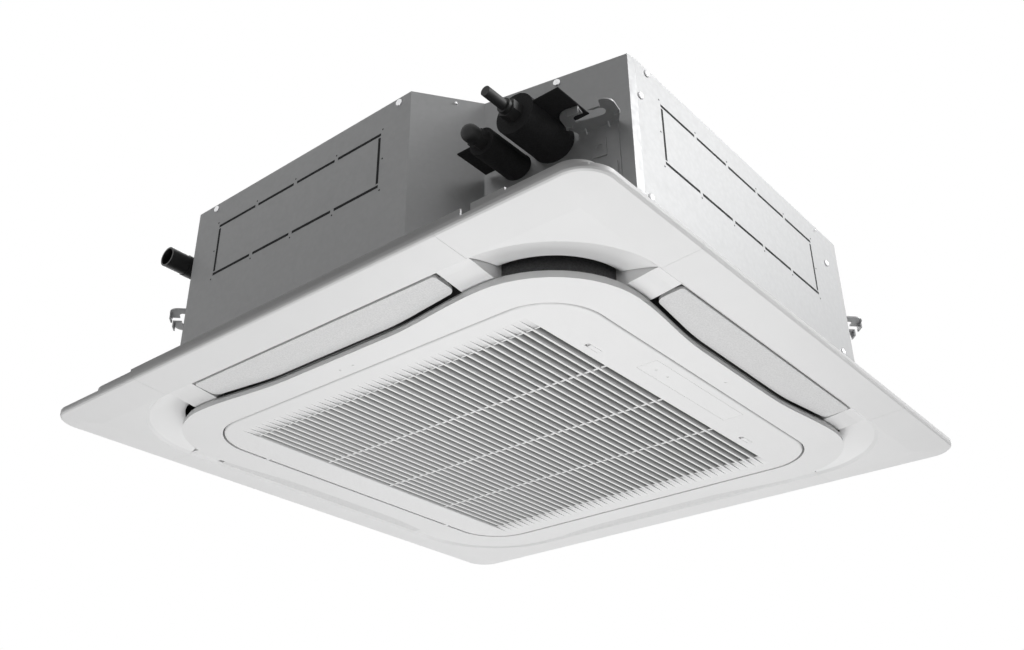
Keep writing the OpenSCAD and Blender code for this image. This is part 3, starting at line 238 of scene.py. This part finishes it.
def foam(name, colour, cell=420, depth=0.5 * MM, rough=0.85, amount=0.12):
    """Closed cell foam with small round cells."""
    mat, nodes, links, bsdf = new_material(name)
    bubbles = cells(nodes, links, cell).outputs["Distance"]
    vary_colour(nodes, links, bsdf, bubbles, colour, amount)
    bsdf.inputs["Roughness"].default_value = rough
    bsdf.inputs["Specular IOR Level"].default_value = 0.3
    add_bump(nodes, links, bsdf, bubbles, depth, strength=0.6)
    return mat


def woven(name, colour, pitch=1.6 * MM, amount=0.5, depth=0.3 * MM, rough=0.7):
    """Fine woven filter mesh: crossed threads."""
    mat, nodes, links, bsdf = new_material(name)
    threads = []
    for direction in ("X", "Y"):
        wave = nodes.new("ShaderNodeTexWave")
        wave.bands_direction = direction
        wave.inputs["Scale"].default_value = 2 / (math.tau * pitch)
        links.new(place_of(nodes, links, 1), wave.inputs["Vector"])
        threads.append(wave.outputs["Fac"])
    top = largest(nodes, links, threads)
    vary_colour(nodes, links, bsdf, top, colour, amount)
    bsdf.inputs["Roughness"].default_value = rough
    add_bump(nodes, links, bsdf, top, depth, strength=0.8)
    return mat


PANEL_COLOUR = (0.78, 0.78, 0.78)
PANEL_ROUGH = 0.38
# For each slot: kind of material, colour, and what differs from the kind's usual values
LOOKS = {
    "galvanised_sheet": (galvanised, (0.445, 0.449, 0.453), {}),
    "plated_steel": (metal, (0.78, 0.78, 0.79), {"rough": 0.3}),
    "white_foam": (foam, (0.86, 0.86, 0.84),
                   {"cell": 260, "depth": 0.3 * MM, "rough": 0.8, "amount": 0.03}),
    "copper": (metal, (0.78, 0.42, 0.28), {"rough": 0.28}),
    "black_foam": (foam, (0.023, 0.023, 0.024), {}),
    "dark_brass": (moulded, (0.012, 0.012, 0.012), {"rough": 0.6, "grain": 600}),
    "black_plastic": (moulded, (0.014, 0.014, 0.014), {"rough": 0.38}),
    "ivory_plastic": (moulded, (0.72, 0.7, 0.62), {"rough": 0.4}),
    "fin_aluminium": (metal, (0.8, 0.81, 0.83),
                      {"rough": 0.35, "scale": 900, "stretch": (1, 1, 0.05), "depth": 0.3 * MM}),
    "fan_plastic": (moulded, (0.62, 0.63, 0.65), {"rough": 0.45}),
    "motor_grey": (metal, (0.45, 0.47, 0.5), {"rough": 0.4}),
    "board_green": (moulded, (0.03, 0.16, 0.06), {"rough": 0.35}),
    "panel_white": (moulded, PANEL_COLOUR, {"rough": PANEL_ROUGH}),
    "louver_grey": (louver_plastic, (0.7, 0.7, 0.7), {}),
    "filter_mesh": (woven, (0.2, 0.2, 0.2), {}),
    "display_white": (moulded, (0.79, 0.79, 0.79),
                      {"rough": 0.36, "grain": 400, "depth": 0.01 * MM}),
}
MATERIALS = {name: make(name, colour, **settings)
             for name, (make, colour, settings) in LOOKS.items()}


def dress(obj, mat):
    for material_slot in obj.material_slots:
        material_slot.material = mat


def dress_nodes():
    """Gives every CAD node the material of its slot."""
    for part in frame["record"]["subparts"]:
        obj = NODES[part["node"]]
        mat = MATERIALS[part["material_slot"]]
        if not obj.material_slots:
            obj.data.materials.append(mat)
        dress(obj, mat)


dress_nodes()

# Painted shade in the grille's slots: share of the grille's height above its face, and share of
# the panel's colour there
SLOT_PAINTED_SHADE = ((0.03, 1.0), (0.12, 0.86), (0.16, 0.64), (0.34, 0.27), (0.85, 0.36), (0.99, 0.95))


def paint_slot_shade(obj):
    """Paints shade into the grille's plastic inside its slots, greyer with depth, and leaves its
    face and back pale.
    """
    mat, nodes, links, bsdf = new_material("grille_white_painted_shade")
    heights = [vertex.co.z for vertex in obj.data.vertices]
    coords = nodes.new("ShaderNodeTexCoord")
    axes = nodes.new("ShaderNodeSeparateXYZ")
    links.new(coords.outputs["Object"], axes.inputs["Vector"])
    share = nodes.new("ShaderNodeMapRange")
    share.inputs["From Min"].default_value = min(heights)
    share.inputs["From Max"].default_value = max(heights)
    links.new(axes.outputs["Z"], share.inputs["Value"])
    painted_shades = [(at, tint(PANEL_COLOUR, factor)) for at, factor in SLOT_PAINTED_SHADE]
    links.new(ramp(nodes, links, share.outputs["Result"], painted_shades), bsdf.inputs["Base Color"])
    moulded_skin(nodes, links, bsdf, PANEL_ROUGH)
    dress(obj, mat)


paint_slot_shade(NODES["intake_grille"])

# Mesh helpers

WELD = 0.001 * MM


def finish_piece(bm, name, body, slot, smooth=False):
    """Makes the mesh an object that rides a body and wears its slot's material."""
    mesh = bpy.data.meshes.new(name)
    bm.normal_update()
    bm.to_mesh(mesh)
    bm.free()
    for face in mesh.polygons:
        face.use_smooth = smooth
    obj = bpy.data.objects.new(name, mesh)
    bpy.context.collection.objects.link(obj)
    mesh.materials.append(MATERIALS[slot])
    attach(obj, body)
    return obj


def lathe(bm, profile, place, steps):
    """Turns a profile of (radius, height) points about local Z and moves it by place."""
    rings = []
    for radius, height in profile:
        turns = [math.tau * k / steps for k in range(steps if radius else 1)]
        points = [Vector((radius * math.cos(turn), radius * math.sin(turn), height))
                  for turn in turns]
        rings.append([bm.verts.new(place @ point) for point in points])
    for low, high in zip(rings, rings[1:]):
        for k in range(steps):
            face = [low[k % len(low)], low[(k + 1) % len(low)],
                    high[(k + 1) % len(high)], high[k % len(high)]]
            corners = list(dict.fromkeys(face))
            if len(corners) > 2:
                bm.faces.new(corners)


def facing(point, outward):
    """Place whose local Z looks outward."""
    return Matrix.Translation(point) @ outward.to_track_quat("Z", "Y").to_matrix().to_4x4()


def islands(obj):
    """Separate solids of a CAD node: corner points and (normal, area) of their faces."""
    bm = bmesh.new()
    bm.from_mesh(obj.data)
    bmesh.ops.remove_doubles(bm, verts=bm.verts, dist=WELD)
    left = set(bm.verts)
    found = []
    while left:
        todo = [left.pop()]
        points, faces = [], set()
        while todo:
            vert = todo.pop()
            points.append(vert.co.copy())
            faces.update(vert.link_faces)
            for edge in vert.link_edges:
                other = edge.other_vert(vert)
                if other in left:
                    left.discard(other)
                    todo.append(other)
        found.append((points, [(face.normal.copy(), face.calc_area()) for face in faces]))
    bm.free()
    return sorted(found, key=lambda pair: tuple(min(p[i] for p in pair[0]) for i in range(3)))


def widest_side(faces):
    """Outward direction of the largest flat side of a solid."""
    sums = {}
    for normal, area in faces:
        key = tuple(round(n, 2) for n in normal)
        total, heading = sums.get(key, (0.0, normal))
        sums[key] = (total + area, heading)
    return max(sums.values(), key=lambda pair: pair[0])[1]


# Casing screws with domed heads and a recess

HEAD_R = 5 * MM
HEAD_H = 2.5 * MM
SHANK_R = 2 * MM
SHANK_TIP_R = 1.2 * MM
HEAD_STEPS = 24
# Shares of the head's radius and height, from the seat over the dome into the recess
HEAD_SHAPE = ((1, 0), (1, 0.35), (0.86, 0.78), (0.55, 1), (0.42, 1), (0.16, 0.45), (0, 0.4))


def casing_screw_heads():
    bm = bmesh.new()
    for points, faces in islands(NODES["casing_screws"]):
        outward = widest_side(faces)
        ends = [p.dot(outward) for p in points]
        middle = sum(points, Vector()) / len(points)
        seat = middle + outward * (max(ends) - HEAD_H - middle.dot(outward))
        length = max(ends) - min(ends) - HEAD_H
        shank = [(0, -length), (SHANK_TIP_R, -length), (SHANK_R, SHANK_R - length), (SHANK_R, 0)]
        head = [(HEAD_R * across, HEAD_H * up) for across, up in HEAD_SHAPE]
        lathe(bm, shank + head, facing(seat, outward), HEAD_STEPS)
    heads = finish_piece(bm, "casing_screw_heads", "root", "plated_steel", True)
    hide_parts("casing_screws")


casing_screw_heads()

# Louvers with rounded inner corners

LOUVER_SIDES = ("left", "far_left", "far_right", "right")
LOUVER_HALF = 216.5 * MM
LOUVER_INNER_WITHIN = 385 * MM
LOUVER_CORNER_R = 10 * MM
CORNER_STEPS = 6
ROUND_PROFILE = 0.5
UPRIGHT_SHARE = 0.9
NEAR_ENOUGH = 0.1 * MM
FLAT_ANGLE = math.radians(1)


def is_inner_corner(edge):
    """True for an upright edge at an end of the louver's curved inner side."""
    one, two = (vert.co for vert in edge.verts)
    along = min(abs(one.x), abs(one.y))
    across = max(abs(one.x), abs(one.y))
    upright = abs(one.z - two.z) > UPRIGHT_SHARE * edge.calc_length()
    return upright and abs(along - LOUVER_HALF) < NEAR_ENOUGH and across < LOUVER_INNER_WITHIN


def rounded_louvers():
    bpy.context.view_layer.update()
    for side in LOUVER_SIDES:
        node = NODES["louver_" + side]
        bm = bmesh.new()
        bm.from_mesh(node.data)
        bm.transform(node.matrix_world)
        bmesh.ops.remove_doubles(bm, verts=bm.verts, dist=WELD)
        bmesh.ops.dissolve_limit(bm, angle_limit=FLAT_ANGLE, verts=bm.verts, edges=bm.edges)
        corners = [edge for edge in bm.edges if is_inner_corner(edge)]
        bmesh.ops.bevel(bm, geom=corners, offset=LOUVER_CORNER_R, segments=CORNER_STEPS,
                        profile=ROUND_PROFILE, affect="EDGES", clamp_overlap=True)
        flap = finish_piece(bm, "louver_flap_" + side, "louver_" + side, "louver_grey")
        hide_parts("louver_" + side)


rounded_louvers()

# Lids over the corner outlets, between the inner and outer duct walls

LID_CORNERS = {"near": (-1, -1), "left": (-1, 1), "far": (1, 1), "right": (1, -1)}
LID_OUTER_AT = 269.4 * MM
LID_OUTER_R = 146.8 * MM
LID_INNER_AT = 250 * MM
LID_INNER_R = 112.4 * MM
LID_LOW = level(26)
LID_T = 1.5 * MM
LID_STEPS = 16


def arc(centre, radius, start, end, steps):
    """Points of an arc whose centre has the same X and Y."""
    turns = [start + (end - start) * k / steps for k in range(steps + 1)]
    return [(centre + radius * math.cos(turn), centre + radius * math.sin(turn)) for turn in turns]


def corner_duct_lids():
    start = math.asin((LID_OUTER_AT - LID_INNER_AT) / LID_INNER_R)
    outline = (arc(LID_OUTER_AT, LID_OUTER_R, 0, QUARTER, LID_STEPS)
               + arc(LID_INNER_AT, LID_INNER_R, QUARTER - start, start, LID_STEPS))
    for corner, (sx, sy) in LID_CORNERS.items():
        bm = bmesh.new()
        low, high = ([bm.verts.new((sx * x, sy * y, z)) for x, y in outline]
                     for z in (LID_LOW, LID_LOW + LID_T))
        bm.faces.new(low)
        bm.faces.new(high)
        for k in range(len(outline)):
            bm.faces.new([low[k - 1], low[k], high[k], high[k - 1]])
        bmesh.ops.recalc_face_normals(bm, faces=bm.faces)
        finish_piece(bm, "corner_duct_lid_" + corner, "root", "black_plastic")


corner_duct_lids()

# Dark grey sheet, drawn as foam, on the duct side of the inner duct wall: painted shade in the
# outlets' gaps

LINING_AT = 362.3 * MM
LINING_R = 112.3 * MM
LINING_T = 0.6 * MM
LINING_LOW = level(-14.7)
LINING_HIGH = level(25.7)
LINING_TURNS = 16
LINING_SHADE_GREY = (0.11, 0.11, 0.112)


def round_square(half, radius):
    """Outline of a square with round corners, counterclockwise."""
    points = []
    for corner in range(4):
        turn = QUARTER * corner
        cx = (half - radius) * (math.cos(turn) - math.sin(turn))
        cy = (half - radius) * (math.sin(turn) + math.cos(turn))
        for k in range(LINING_TURNS + 1):
            angle = turn + QUARTER * k / LINING_TURNS
            points.append((cx + radius * math.cos(angle), cy + radius * math.sin(angle)))
    return points


def duct_shade_lining():
    bm = bmesh.new()
    section = ((0, LINING_LOW), (LINING_T, LINING_LOW), (LINING_T, LINING_HIGH), (0, LINING_HIGH))
    loops = []
    for off, height in section:
        plan = round_square(LINING_AT + off, LINING_R + off)
        loops.append([bm.verts.new((x, y, height)) for x, y in plan])
    for one, two in zip(loops, loops[1:] + loops[:1]):
        for k in range(len(one)):
            bm.faces.new([one[k - 1], one[k], two[k], two[k - 1]])
    bmesh.ops.recalc_face_normals(bm, faces=bm.faces)
    shade_sheet = finish_piece(bm, "duct_shade_lining", "root", "black_foam")
    # The sheet's dark grey is painted shade of the outlets' gaps.
    dress(shade_sheet, foam("duct_shade_foam", LINING_SHADE_GREY))


duct_shade_lining()

# Knock-outs: side, centre along it, length, height, parts of a long side

CASING_HALF = 420 * MM
KNOCK_LEVEL = level(193)
WIDE_KNOCK_OUT = (-36 * MM, 398 * MM, 87 * MM, 5)
SMALL_KNOCK_OUT = (-41.5 * MM, 321 * MM, 80 * MM, 4)
KNOCK_OUTS = ((0, *WIDE_KNOCK_OUT), (1, *SMALL_KNOCK_OUT),
              (2, *WIDE_KNOCK_OUT), (3, *SMALL_KNOCK_OUT))
PROUD = 0.1 * MM
GUIDE_R = 1.3 * MM
GUIDE_STEPS = 10
GUIDE_OUT = 7 * MM
GUIDE_CORNER_OUT = 5 * MM
SLIT_W = 4.2 * MM
SLIT_BRIDGE = 6.5 * MM
SLIT_UPRIGHT_SHORT = 9 * MM


def casing_side(side):
    return Matrix.Rotation(QUARTER * side, 4, "Z")


def guide_hole_places(length, height, parts):
    """Centre of each small hole: one past each end, and a row above and below."""
    places = [(sx * (length / 2 + GUIDE_OUT), 0) for sx in (-1, 1)]
    for k in range(parts + 1):
        at_end = (k == parts) - (k == 0)
        x = length * (k / parts - 0.5) + at_end * GUIDE_CORNER_OUT
        places += [(x, sz * (height / 2 + GUIDE_OUT)) for sz in (-1, 1)]
    return places


def slit_places(length, height, parts):
    """Centre, width and height of each slit. The end slits reach into the corners."""
    step = length / parts
    places = []
    for k in range(parts):
        start = length * (k / parts - 0.5)
        low = start + (SLIT_BRIDGE / 2 if k else -SLIT_W / 2)
        high = start + step + (SLIT_W / 2 if k == parts - 1 else -SLIT_BRIDGE / 2)
        places += [((low + high) / 2, sz * height / 2, high - low, SLIT_W) for sz in (-1, 1)]
    places += [(sx * length / 2, 0, SLIT_W, height - SLIT_UPRIGHT_SHORT) for sx in (-1, 1)]
    return places


def knock_out_painted_holes():
    """Small round holes, as dark discs just proud of the sheet: painted shade in the holes."""
    bm = bmesh.new()
    disc = [(0, 0), (GUIDE_R, 0), (GUIDE_R, PROUD), (0, PROUD)]
    for side, centre, length, height, parts in KNOCK_OUTS:
        for x, z in guide_hole_places(length, height, parts):
            middle = Vector((centre + x, -CASING_HALF, KNOCK_LEVEL + z))
            lathe(bm, disc, casing_side(side) @ facing(middle, Vector((0, -1, 0))), GUIDE_STEPS)
    finish_piece(bm, "knock_out_painted_holes", "root", "black_foam")


def knock_out_painted_slits():
    """Dark strips just proud of the sheet, which give the CAD's slits the photo's width."""
    # The strips paint the shade in the slits and the black foam behind them.
    bm = bmesh.new()
    for side, centre, length, height, parts in KNOCK_OUTS:
        for x, z, wide, high in slit_places(length, height, parts):
            middle = Vector((centre + x, -CASING_HALF - PROUD / 2, KNOCK_LEVEL + z))
            place = Matrix.Translation(middle) @ Matrix.Diagonal((wide, PROUD, high, 1))
            bmesh.ops.create_cube(bm, size=1, matrix=casing_side(side) @ place)
    finish_piece(bm, "knock_out_painted_slits", "root", "black_foam")


knock_out_painted_holes()
knock_out_painted_slits()

# Floor, backdrop and lights

WORLD_LEVEL = 0.09
FLOOR_DROP = 2.3
FLOOR_HALF = 14
FLOOR_COLOUR = (0.86, 0.86, 0.86)
FLOOR_GLOW = 0.72
CENTRE = Vector((0, 0, level(100)))
# Place in metres, size, power and spread in degrees
LAMPS = {
    "key": ((1.5, -2.7, 1.5), 1.5, 15.5, 70),
    "below": ((1.3, 0.7, -2.0), 1.8, 23.5, 180),
    "back": ((1.7, 2.8, 1.9), 1.8, 14, 70),
    "near": ((-0.66, -0.38, -2.1), 0.8, 21, 180),
}


def seen_by(nodes, links, kinds):
    """One for rays of these kinds, and zero for all others."""
    path = nodes.new("ShaderNodeLightPath")
    return largest(nodes, links, [path.outputs["Is " + kind + " Ray"] for kind in kinds])


def make_world():
    """Low even light, which camera, mirrors and glass see as plain white."""
    world = bpy.data.worlds.new("studio")
    bpy.context.scene.world = world
    world.use_nodes = True
    nodes, links = world.node_tree.nodes, world.node_tree.links
    light = nodes["Background"]
    white = nodes.new("ShaderNodeBackground")
    for background, strength in ((light, WORLD_LEVEL), (white, 1.0)):
        background.inputs["Color"].default_value = (1, 1, 1, 1)
        background.inputs["Strength"].default_value = strength
    mix = nodes.new("ShaderNodeMixShader")
    links.new(seen_by(nodes, links, ("Camera", "Glossy", "Transmission")), mix.inputs["Fac"])
    links.new(light.outputs["Background"], mix.inputs[1])
    links.new(white.outputs["Background"], mix.inputs[2])
    links.new(mix.outputs["Shader"], nodes["World Output"].inputs["Surface"])


def lift_floor(nodes, links, bsdf):
    """Adds a pale tone to what camera and mirrors see of the floor, so its shadow stays."""
    strength = nodes.new("ShaderNodeMath")
    strength.operation = "MULTIPLY"
    strength.inputs[1].default_value = FLOOR_GLOW
    links.new(seen_by(nodes, links, ("Camera", "Glossy")), strength.inputs[0])
    glow = nodes.new("ShaderNodeEmission")
    links.new(strength.outputs["Value"], glow.inputs["Strength"])
    both = nodes.new("ShaderNodeAddShader")
    links.new(bsdf.outputs["BSDF"], both.inputs[0])
    links.new(glow.outputs["Emission"], both.inputs[1])
    links.new(both.outputs["Shader"], nodes["Material Output"].inputs["Surface"])


def make_floor():
    bm = bmesh.new()
    bmesh.ops.create_grid(bm, x_segments=2, y_segments=2, size=FLOOR_HALF)
    mesh = bpy.data.meshes.new("studio_floor")
    bm.to_mesh(mesh)
    bm.free()
    mat, nodes, links, bsdf = new_material("studio_floor")
    vary_colour(nodes, links, bsdf, noise(nodes, links, scale=2), FLOOR_COLOUR, amount=0.01)
    bsdf.inputs["Roughness"].default_value = 0.8
    lift_floor(nodes, links, bsdf)
    mesh.materials.append(mat)
    floor = bpy.data.objects.new("studio_floor", mesh)
    floor.location.z = -FLOOR_DROP
    bpy.context.collection.objects.link(floor)


def area_light(name, place, size, power, spread):
    data = bpy.data.lights.new(name, "AREA")
    data.shape = "SQUARE"
    data.size = size
    data.energy = power
    data.spread = math.radians(spread)
    lamp = bpy.data.objects.new(name, data)
    bpy.context.collection.objects.link(lamp)
    lamp.matrix_world = facing(Vector(place), Vector(place) - CENTRE)


make_world()
make_floor()
for lamp_name, settings in LAMPS.items():
    area_light(lamp_name, *settings)
bpy.context.scene.view_settings.view_transform = "Standard"
